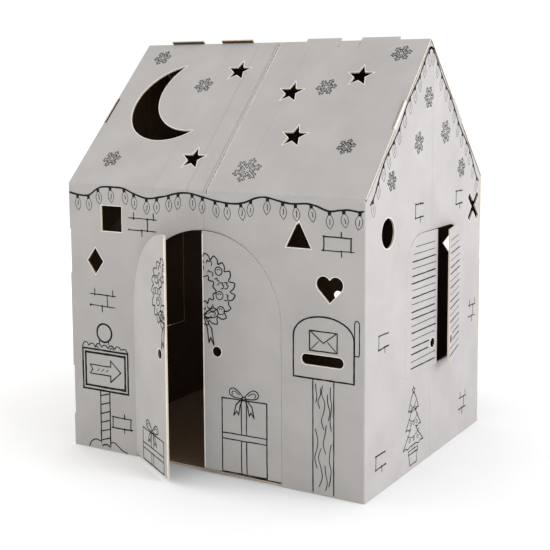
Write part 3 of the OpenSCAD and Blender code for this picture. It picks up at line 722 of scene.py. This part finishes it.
def signDrawn(drawing):
    s = signPost
    left, right, foot, top = s["left"], s["right"], s["foot"], s["top"]
    for inset, wide in ((0, s["frameLine"]), (s["frameIn"], s["frameLine"] * 1.1)):
        edge = oblong(left + inset, foot + inset, right - inset, top - inset)
        line(drawing, edge, wide, closed=True, shake=0.5)
    # An arrow fills the board
    middle, level = (left + right) / 2, (foot + top) / 2
    reach, high = s["arrowReach"], s["arrowHigh"]
    arrow = [(-reach, high * 0.42), (reach * 0.35, high * 0.42), (reach * 0.35, high), (reach, 0),
             (reach * 0.35, -high), (reach * 0.35, -high * 0.42), (-reach, -high * 0.42), (-reach * 0.82, 0)]
    line(drawing, placed((middle, level), arrow), 2.6, closed=True)
    for px in (-0.55, -0.25, 0.05):
        line(drawing, [(middle + reach * px, level - 3.5), (middle + reach * (px + 0.16), level + 3.5)], 1.6)
    # Snow lies on it in soft lumps
    lumps = [(left - 1, top + 3)]
    count = 7
    for i in range(count):
        start = left + (right - left) * i / count
        wide = (right - left) / count
        rise = 12 + 4 * hand.random() - (4 if i == count - 1 else 0)
        lumps += [(start + wide * 0.3, top + rise), (start + wide * 0.72, top + rise * 0.96)]
        lumps.append((start + wide, top + (rise * 0.55 if i < count - 1 else 1)))
    line(drawing, lumps, s["snowLine"], curved=True, shake=0.4)
    for share in (0.32, 0.66):
        at = (left + (right - left) * share, top)
        line(drawing, placed(at, [(-7, 4), (-1, 8), (6, 4)]), s["snowLine"] * 0.9, curved=True)
    bx, bz = s["ballAt"]
    ring(drawing, (bx, bz), s["ballRadius"], s["ballRadius"], s["frameLine"])
    for x in (s["postLeft"], s["postRight"]):
        drop = 6 if x == s["postRight"] else 0
        line(drawing, [(x, foot), (x - 1, s["postFoot"] - drop)], s["postLine"], shake=0.5)
        line(drawing, [(x, top + 15), (x, bz - s["ballRadius"] * 0.82)], s["snowLine"])
    pitch = (foot - s["postFoot"]) / s["stripes"]
    for i in range(s["stripes"]):
        z = s["postFoot"] + 8 + i * pitch
        slanting = [(s["postLeft"], z), (s["postRight"], z + pitch * 0.42)]
        line(drawing, slanting, s["postLine"] * 0.9, shake=0.5)
    for drift in s["drifts"]:
        line(drawing, drift, s["driftLine"], curved=True)
    line(drawing, s["driftEdge"], s["driftLine"])


# Letter box on a plank, with an envelope over the slot

letterBox = {
    "left": 230, "right": 380, "foot": 262, "side": 352, "apex": 402, "line": 3.3,
    "flagLeft": 381, "flagRight": 392.5, "flagFoot": 325, "flagTop": 401,
    "postLeft": 279, "postRight": 331, "grainLine": 1.7,
    "grain": [(287, 252, 208, 2), (296, 244, 196, 4), (305, 250, 150, 5), (318, 232, 172, 4),
              (324, 248, 150, 2), (288, 150, 60, 4), (309, 162, 96, 4), (298, 108, 18, 5), (322, 120, 22, 3),
              (312, 70, 12, 3)],  # x, top, foot, bend
    "envelope": (271, 325, 339, 369),
}


def letterBoxDrawn(drawing):
    b = letterBox
    middle, half = (b["left"] + b["right"]) / 2, (b["right"] - b["left"]) / 2
    crown = [(middle + half * math.cos(turn), b["side"] + (b["apex"] - b["side"]) * math.sin(turn) ** 0.9)
             for turn in (math.pi * i / 18 for i in range(19))]
    outline = [(b["left"], b["foot"]), (b["right"], b["foot"]), *crown]
    line(drawing, outline, b["line"], closed=True, shake=0.4)
    left, right, foot, top = b["flagLeft"], b["flagRight"], b["flagFoot"], b["flagTop"]
    flag = [(left, foot), (right - 2, foot - 1), (right, foot + 3), (right, top - 5), (right - 4, top),
            (left + 3, top), (left, top - 5)]
    line(drawing, flag, 2.2, closed=True, shake=0.3)
    for x in (b["postLeft"], b["postRight"]):
        line(drawing, [(x, b["foot"]), (x, 3)], 2.4, shake=0.5)
    for x, top, foot, bend in b["grain"]:
        steps = max(3, round((top - foot) / 20))
        grain = [(x + bend * math.sin(i * 1.9 + x), top + (foot - top) * i / steps) for i in range(steps + 1)]
        line(drawing, grain, b["grainLine"], curved=True)
    x0, z0, x1, z1 = b["envelope"]
    line(drawing, oblong(*b["envelope"]), 2.6, closed=True)
    line(drawing, [(x0 + 2, z1 - 1), ((x0 + x1) / 2, z0 + (z1 - z0) * 0.42), (x1 - 2, z1 - 1)], 2.4)
    line(drawing, [(x0 + 2, z0 + 2), (x0 + (x1 - x0) * 0.36, z0 + (z1 - z0) * 0.52)], 1.8)
    line(drawing, [(x1 - 2, z0 + 2), (x1 - (x1 - x0) * 0.36, z0 + (z1 - z0) * 0.52)], 1.8)


# Wreath hung across both leaves, and a gift box on each

wreath = {
    "middle": (-5, 436), "outer": 86, "inner": 27, "leaves": 19, "innerLeaves": 11, "line": 2.6,
    "berries": [(47, 62), (-14, 46), (152, 60), (206, 50), (-44, 66), (98, 50)],  # degrees, radius
    "berryRadius": 9.5,
    "tip": [(-0.7, -0.15), (0.15, -0.12), (0.55, 0.0), (0.1, 0.08), (0.45, 0.16), (-0.5, 0.21)],  # out, round
    "bowAt": (-5, 372),
}
gifts = {
    "right": {"left": 43, "right": 161, "foot": 12, "top": 187, "ribbonX": (94.5, 108), "ribbonZ": (91, 105)},
    "left": {"left": -163, "right": -30, "foot": 12, "top": 89, "ribbonX": (-108, -95), "ribbonZ": (40, 53)},
    "line": 2.4,
    "bowWide": 78,
}


def leafyRing(drawing, at, radius, deep, count, wide, skew):
    points = []
    step = 2 * math.pi / count
    for i in range(count):
        angle = i * step + hand.uniform(-0.12, 0.12) * step
        tall = deep * hand.uniform(0.75, 1.1)
        leaf = ((0.0, 0.0), (0.22, 0.62), (0.5 + skew, 1.0), (0.62 + skew, 0.82), (0.72 + skew, 0.25))
        points += [polar(at, radius + tall * out, angle + share * step) for share, out in leaf]
    line(drawing, points, wide, closed=True, curved=True, shake=1.2)


def bowDrawn(drawing, at, wide, tail, lineWide, doubled=True):
    for sign in (-1, 1):
        loop = [(sign * 3, 1), (wide * 0.16 * sign, wide * 0.17), (wide * 0.34 * sign, wide * 0.27),
                (wide * 0.48 * sign, wide * 0.2), (wide * 0.46 * sign, wide * 0.06),
                (wide * 0.26 * sign, -wide * 0.01)]
        line(drawing, placed(at, loop), lineWide, closed=True, curved=True, shake=0.4)
        if doubled:
            inner = [(wide * 0.14 * sign, wide * 0.08), (wide * 0.3 * sign, wide * 0.18),
                     (wide * 0.4 * sign, wide * 0.14), (wide * 0.36 * sign, wide * 0.05)]
            line(drawing, placed(at, inner), lineWide * 0.8, curved=True, shake=0.3)
        tailPath = [(sign * 2, -1), (wide * 0.13 * sign, -tail * 0.42), (wide * 0.18 * sign, -tail * 0.92),
                    (wide * 0.24 * sign, -tail * 0.72), (wide * 0.35 * sign, -tail),
                    (wide * 0.27 * sign, -tail * 0.4), (sign * 5, -1)]
        line(drawing, placed(at, tailPath), lineWide, shake=0.4)
    ring(drawing, at, wide * 0.055, wide * 0.045, lineWide, 10)


def wreathDrawn(drawing):
    w = wreath
    leafyRing(drawing, w["middle"], w["outer"] - 13, 13, w["leaves"], w["line"], 0.1)
    leafyRing(drawing, w["middle"], w["inner"] + 8, -8, w["innerLeaves"], w["line"], 0.05)
    # Leaf tips between the two outlines, clear of the berries
    spots = [polar(w["middle"], r, math.radians(turn)) for turn, r in w["berries"]]
    for base, count in ((43, 12), (55, 15), (66, 17)):
        for i in range(count):
            angle = (i + base * 0.37) * 2 * math.pi / count + hand.uniform(-0.06, 0.06)
            r, tall = base + hand.uniform(-2, 2), hand.uniform(6, 9)
            ends = [polar(w["middle"], r + tall * dr, angle + da * 44 / base) for dr, da in w["tip"]]
            if all(math.dist(end, spot) > w["berryRadius"] + 2.5 for end in ends for spot in spots):
                line(drawing, ends, w["line"] * 0.8, curved=True)
    for at in spots:
        ring(drawing, at, w["berryRadius"], w["berryRadius"], w["line"] * 0.85, 16)
        line(drawing, placed(at, [(-5, 1), (-1, 4.5), (4.5, 2)]), 1.6, curved=True)
    bowDrawn(drawing, w["bowAt"], 82, 66, w["line"])


def giftDrawn(drawing, g):
    wide = gifts["line"]
    left, right, foot, top = g["left"], g["right"], g["foot"], g["top"]
    line(drawing, oblong(left, foot, right, top), wide * 1.1, closed=True, shake=0.5)
    for x in g["ribbonX"]:
        line(drawing, [(x, foot), (x, g["ribbonZ"][0])], wide)
        line(drawing, [(x, g["ribbonZ"][1]), (x, top)], wide)
    for z in g["ribbonZ"]:
        line(drawing, [(left, z), (right, z)], wide)
    middle = sum(g["ribbonX"]) / 2
    bowDrawn(drawing, (middle, top + 5), gifts["bowWide"], min(44, (top - g["ribbonZ"][1]) * 0.9), wide)


# Louvres on a shutter: one heavy and one light line by turns

louvres = {"count": 18, "first": 244, "pitch": 16.75, "heavy": 2.7, "light": 1.4, "hingeMargin": 27,
           "meetMargin": 6, "gripHigh": 284, "gripMargin": 42}


def louvresDrawn(drawing, side):
    half = house["windowWide"] / 2
    top = house["windowSill"] + house["windowHigh"]
    for i in range(louvres["count"]):
        z = louvres["first"] + i * louvres["pitch"]
        over = max(0, z - (top - house["windowRadius"]))
        cutIn = house["windowRadius"] - math.sqrt(max(0, house["windowRadius"] ** 2 - over * over))
        near = louvres["gripMargin"] if abs(z - louvres["gripHigh"]) < 14 else louvres["meetMargin"]
        near += hand.uniform(0, 9) + cutIn * 0.25
        far = half - louvres["hingeMargin"] - cutIn * 1.05 - hand.uniform(0, 5)
        wide = louvres["light"] if i % 5 in (1, 4) or i == louvres["count"] - 1 else louvres["heavy"]
        line(drawing, [(house["windowMiddle"] + side * near, z + hand.uniform(-1, 1)),
                       (house["windowMiddle"] + side * far, z + hand.uniform(-1, 1))], wide, shake=0.4)


# Snowflakes: six lacy arms drawn as one outline

flakes = {
    "line": 1.35,
    "roof": [((-338, 433), 26), ((-160, 333), 26), ((-316, 82), 26), ((347, 435), 26), ((190, 326), 27),
             ((308, 144), 23), ((84, 65), 36)],
    "gable": [((-11, 871), 27), ((-67, 768), 27), ((93, 786), 30), ((200, 692), 26), ((-214, 692), 24)],
    "arm": [(0.14, 0.08), (0.34, 0.07), (0.47, 0.24), (0.56, 0.18), (0.46, 0.07), (0.6, 0.07), (0.74, 0.27),
            (0.84, 0.2), (0.75, 0.07), (0.97, 0.05)],
}


def flakeDrawn(drawing, at, radius, wide):
    outline = []
    firstTurn = hand.uniform(0, 0.4)
    arm = [(px, -py) for px, py in flakes["arm"]] + flakes["arm"][::-1]
    for k in range(6):
        turn = Matrix.Rotation(firstTurn + k * math.pi / 3, 2)
        outline += [Vector(at) + radius * (turn @ Vector(p)) for p in arm]
    line(drawing, outline, wide, closed=True, shake=0.3)


# A potted fir in the gable's lower corner

potFir = {"middle": -85, "foot": 12, "potWide": 54, "potHigh": 36, "top": 186, "line": 2.1, "halfWide": 58}


def firDrawn(drawing):
    f = potFir
    x, foot, wide = f["middle"], f["foot"], f["line"]
    rim = foot + f["potHigh"]
    half = f["potWide"] / 2
    line(drawing, [(x - half * 0.72, foot), (x + half * 0.72, foot), (x + half * 0.92, rim - 9),
                   (x - half * 0.92, rim - 9)], wide, closed=True)
    line(drawing, oblong(x - half, rim - 9, x + half, rim), wide, closed=True)
    for px in (-6, 6):
        line(drawing, [(x + px, rim), (x + px, rim + 9)], wide)
    tiers = 3
    high = (f["top"] - rim - 9) / tiers
    right = []
    for i in range(tiers):
        reach = f["halfWide"] * (1 - 0.25 * i)
        z = rim + 9 + i * high
        right += [(reach * 0.3, z + 1), (reach * 0.55, z - 3), (reach * 0.72, z + 2), (reach, z),
                  (reach * 0.72, z + high * 0.36), (reach * 0.42, z + high * 0.72)]
    outline = [*right, (0, f["top"]), *((-px, z) for px, z in reversed(right))]
    line(drawing, placed((x, 0), outline), wide * 1.05, closed=True, shake=0.9)
    for i, (reach, z) in enumerate(((0.62, 0.2), (0.46, 0.5), (0.3, 0.76))):
        level = rim + 9 + (f["top"] - rim - 9) * z
        span = f["halfWide"] * reach
        line(drawing, [(x - span, level + 5), (x - span * 0.3, level - 5), (x + span * 0.3, level - 3),
                       (x + span, level + 8)], 1.6, curved=True)
        for share in (-0.55, 0.1, 0.7):
            ring(drawing, (x + span * share, level - 11), 4, 4.4, 1.5, 12)
    line(drawing, star((x, f["top"] + 4), 9, 4), 1.8, closed=True, shake=0.2)


def wallDrawing():
    drawing = newDrawing()
    wallLights(drawing)
    for patch in bricks["wall"]:
        brickPatch(drawing, *patch)
    signDrawn(drawing)
    letterBoxDrawn(drawing)
    return drawing


def roofDrawing():
    drawing = newDrawing()
    for at, radius in flakes["roof"]:
        flakeDrawn(drawing, at, radius, flakes["line"])
    return drawing


def gableDrawing():
    drawing = newDrawing()
    gableLights(drawing)
    for at, radius in flakes["gable"]:
        flakeDrawn(drawing, at, radius, flakes["line"])
    for patch in bricks["gable"]:
        brickPatch(drawing, *patch)
    firDrawn(drawing)
    return drawing


wallDrawn, roofDrawn, gableDrawn = wallDrawing(), roofDrawing(), gableDrawing()
leafDrawn = newDrawing()
wreathDrawn(leafDrawn)
giftDrawn(leafDrawn, gifts["left"])
giftDrawn(leafDrawn, gifts["right"])
for end, wallSide, gableSide in (("front", "frontWall", "rightGable"), ("back", "backWall", "leftGable")):
    printed(wallSide + "Ink", end + "_wall", wallDrawn,
            lambda p: 0.5 - halfWide < p.x < halfWide - house["boardThick"])
    printed(end + "RoofInk", end + "_roof", roofDrawn)
    printed(gableSide + "Ink", {"front": "right", "back": "left"}[end] + "_gable", gableDrawn,
            lambda p: abs(p.x) < halfDeep - house["boardThick"] - 1)
    meeting = house["doorMiddle"]
    clear = house["cutGap"] / 2 + 1.8
    printed(end + "LeftLeafInk", end + "_left_leaf", leafDrawn, lambda p: p.x < meeting - clear)
    printed(end + "RightLeafInk", end + "_right_leaf", leafDrawn, lambda p: p.x > meeting + clear)
for end in ("right", "left"):
    for which, side in (("near", -1), ("far", 1)):
        slats = newDrawing()
        louvresDrawn(slats, side)
        printed(end + which.capitalize() + "ShutterInk", f"{end}_{which}_shutter", slats)
print("printing drawn")


# Lips: where a blade went in, the white liner is crushed to a slightly raised edge, and its bright colour is
# partly painted highlight

# The lips' bright colour: part crushed paper, part painted highlight along the cuts
lips = {"wide": 1.3, "edgeWide": 2.4, "colour": "#e8e4de", "shade": "#d5cdc1"}
cuts = {
    "square": (-274.5, 582, 62), "diamond": (-327.5, 475, 50, 67), "triangle": (243.5, 549, 64, 62),
    "heart": (320.5, 433, 66), "slot": (302.5, 304, 105, 24), "circle": (-231.5, 578, 68),
    "cross": (287.5, 586, 68, 19), "moon": (-211, 276, 130, 134, 80, 29), "starRadius": 35,
    "starInner": 0.42, "stars": [(-78, 383), (101, 310), (265, 363), (165, 171), (-78, 93)],
    "leafFoot": 14, "leafHead": 566,
}


def lip(drawing, points):
    # A closed ribbon that lies just outside an opening whose corners run anticlockwise
    corners = [Vector(p) for p in points]
    corners = [p for i, p in enumerate(corners) if (p - corners[i - 1]).length > 0.01]
    moved = []
    for i, p in enumerate(corners):
        one, two = (p - corners[i - 1]).normalized(), (corners[(i + 1) % len(corners)] - p).normalized()
        mean = (one + two).normalized()
        moved.append(p + Vector((mean.y, -mean.x)) * lips["wide"] / 2 / max(0.5, mean.dot(one)))
    line(drawing, moved, lips["wide"], closed=True, shake=0)


def heartOutline():
    x, z, wide = cuts["heart"]
    lobe = wide * 0.27
    mx, mz = wide / 2 - lobe, wide * 0.62
    start = math.degrees(math.acos(lobe / math.hypot(mx, mz)) + math.atan2(mz, mx)) - 180
    end = math.degrees(math.acos(-mx / lobe))
    half = arc((mx, mz), lobe, start, end, 14)
    return placed((x, z), [(0, 0), *half, *((-px, pz) for px, pz in reversed(half))])


def moonOutline():
    x, v, radius, bite, shift, toward = cuts["moon"]
    along = (shift ** 2 + radius ** 2 - bite ** 2) / (2 * shift)
    outer = math.degrees(math.acos(along / radius))
    inner = math.degrees(math.acos((along - shift) / bite))
    middle = polar((x, v), shift, math.radians(toward))
    return (arc((x, v), radius, toward + outer, toward + 360 - outer, 60)
            + arc(middle, bite, toward + 360 - inner, toward + inner, 48)[1:-1])


def wallLips():
    drawing = newDrawing()
    x, z, side = cuts["square"]
    half = side / 2
    lip(drawing, oblong(x - half, z - half, x + half, z + half))
    x, z, wide, high = cuts["diamond"]
    lip(drawing, [(x, z - high / 2), (x + wide / 2, z), (x, z + high / 2), (x - wide / 2, z)])
    x, z, wide, high = cuts["triangle"]
    lip(drawing, [(x - wide / 2, z), (x + wide / 2, z), (x, z + high)])
    lip(drawing, heartOutline())
    x, z, wide, high = cuts["slot"]
    reach = (wide - high) / 2
    lip(drawing, arc((x + reach, z), high / 2, -90, 90, 12) + arc((x - reach, z), high / 2, 90, 270, 12))
    return drawing


def roofLips():
    drawing = newDrawing()
    lip(drawing, moonOutline())
    for at in cuts["stars"]:
        lip(drawing, star(at, cuts["starRadius"], cuts["starRadius"] * cuts["starInner"]))
    return drawing


def gableLips():
    drawing = newDrawing()
    x, z, wide = cuts["circle"]
    lip(drawing, arc((x, z), wide / 2, 0, 350, 35))
    x, z, size, arm = cuts["cross"]
    reach, half = (size - arm * 0.7) / math.sqrt(2) + arm * 0.35, arm / 2
    turns = [Matrix.Rotation(math.pi / 4 + quarter * math.pi / 2, 2) for quarter in range(4)]
    lip(drawing, [Vector((x, z)) + turn @ Vector(p)
                  for turn in turns for p in ((reach, -half), (reach, half), (half, half))])
    return drawing


def lipMaterialMade():
    material, tree = emptyMaterial("crushedLinerEdgePaintedHighlight")
    point = placeInMillimetres(tree)
    frayed = addNode(tree, "TexNoise", point, named={"Scale": 0.4, "Detail": 5.0})
    frayed = addNode(tree, "MapRange", frayed, 0.4, 0.65, 0.0, 1.0)
    colour = layered(tree, hexColour(lips["colour"]), [(frayed, hexColour(lips["shade"]))])
    bump = addNode(tree, "Bump", named={"Strength": 1.0, "Distance": 0.05 * mm, "Height": frayed})
    surfaced(tree, colour, 0.9, 0.25, bump)
    return material


lipMaterial = lipMaterialMade()
onWall, onRoof, onGable = wallLips(), roofLips(), gableLips()
for node in places:
    first, *others = node.split("_")
    if others[-1] in ("leaf", "shutter"):
        drawing = newDrawing()
        lip(drawing, arc(fingerHole(node), house["holeWide"] / 2, 0, 345, 23))
    else:
        drawing = {"wall": onWall, "roof": onRoof, "gable": onGable}[others[-1]]
    # A bright strip along a leaf's free edge: crushed lip and painted highlight
    if others[-1] == "leaf":
        side = -1 if others[0] == "left" else 1
        edge = house["doorMiddle"] + side * (house["cutGap"] / 2 + lips["edgeWide"] * 0.65)
        line(drawing, [(edge, cuts["leafFoot"]), (edge, cuts["leafHead"])], lips["edgeWide"], shake=0.15)
    name = first + "".join(word.capitalize() for word in others) + "Lips"
    laidOn(name, node, drawing, lipMaterial)
print("cut lips laid")

# Stage: a pale sweep that runs to the horizon, glowing further off as painted light

stage = {"floor": "#e9e9e8", "sky": "#ffffff", "skyStrength": 1.0, "size": 60,
         "middle": (-0.1, -0.1, 0), "plain": 0.66, "burnt": 1.7, "glow": 0.3}  # white further off
floorMesh = bpy.data.meshes.new("studioFloor")
reach = stage["size"] / 2
floorMesh.from_pydata([(x, y, 0) for x, y in oblong(-reach, -reach, reach, reach)], [], [(0, 1, 2, 3)])
studioFloor = bpy.data.objects.new("studioFloor", floorMesh)
bpy.context.scene.collection.objects.link(studioFloor)
studioFloor.location.z = -0.0005
material, tree = emptyMaterial("paintedStudioSweep")
coords = addNode(tree, "TexCoord").node
grain = addNode(tree, "TexNoise", coords.outputs["Object"], named={"Scale": 900.0, "Detail": 2.0})
bump = addNode(tree, "Bump", named={"Strength": 0.3, "Distance": 0.0002, "Height": grain})
# Painted light: the floor glows more with distance from the house, until it burns white
away = addNode(tree, "VectorMath", coords.outputs["Object"], stage["middle"], out=1, operation="DISTANCE")
glow = addNode(tree, "MapRange", away, stage["plain"], stage["burnt"], 0.0, stage["glow"],
               interpolation_type="SMOOTHSTEP")
surfaced(tree, hexColour(stage["floor"]), 0.75, 0.2, bump,
         {"Emission Color": hexColour(stage["sky"]), "Emission Strength": glow})
floorMesh.materials.append(material)

world = bpy.data.worlds.new("studioWorld")
bpy.context.scene.world = world
world.use_nodes = True
world.node_tree.nodes.clear()
sky = addNode(world.node_tree, "Background", hexColour(stage["sky"]), stage["skyStrength"])
addNode(world.node_tree, "OutputWorld", sky)

# Lights: a wide soft box on the right, a shade cool, and a weaker one low on the left

lamps = {
    "rightBox": {"at": (4.6, -0.3, 2.2), "aim": (0.1, 0.0, 0.45), "size": 3.2, "watts": 176,
                 "colour": "#f6f6ff"},
    "leftBox": {"at": (-3.1, -0.8, 1.5), "aim": (-0.2, -0.4, 0.5), "size": 1.6, "watts": 44,
                "colour": "#fffdfa"},
}
for name, lamp in lamps.items():
    data = bpy.data.lights.new(name, "AREA")
    data.shape = "SQUARE"
    data.size = lamp["size"]
    data.energy = lamp["watts"]
    data.color = hexColour(lamp["colour"])[:3]
    box = bpy.data.objects.new(name, data)
    bpy.context.scene.collection.objects.link(box)
    box.location = lamp["at"]
    aim = Vector(lamp["aim"]) - Vector(lamp["at"])
    box.rotation_euler = aim.to_track_quat("-Z", "Y").to_euler()

# Camera: a long lens well back, a little raised, looking at the door from the right

view = {
    "at": (1.42348, -2.42594, 0.91692),
    "yaw": -0.5364, "down": 0.1173, "roll": -0.0054,  # radians
    "focal": 1110.4,  # pixels for a frame 550 wide
    "frame": 550, "sensor": 36.0, "shiftY": -0.12,
}
cameraData = bpy.data.cameras.new("photoView")
camera = bpy.data.objects.new("photoView", cameraData)
bpy.context.scene.collection.objects.link(camera)
yaw, down, roll = view["yaw"], view["down"], view["roll"]
ahead = Vector((math.sin(yaw) * math.cos(down), math.cos(yaw) * math.cos(down), -math.sin(down)))
level = Vector((math.cos(yaw), -math.sin(yaw), 0))
upright = level.cross(ahead)
rightward = level * math.cos(roll) + upright * math.sin(roll)
upward = upright * math.cos(roll) - level * math.sin(roll)
camera.matrix_world = (Matrix.Translation(view["at"])
                       @ Matrix((rightward, upward, -ahead)).transposed().to_4x4())
cameraData.sensor_width = view["sensor"]
cameraData.lens = view["sensor"] * view["focal"] / view["frame"]
cameraData.shift_y = view["shiftY"]
cameraData.clip_end = 200
bpy.context.scene.camera = camera
bpy.context.scene.view_settings.view_transform = "Standard"
print("stage, lights and camera set")
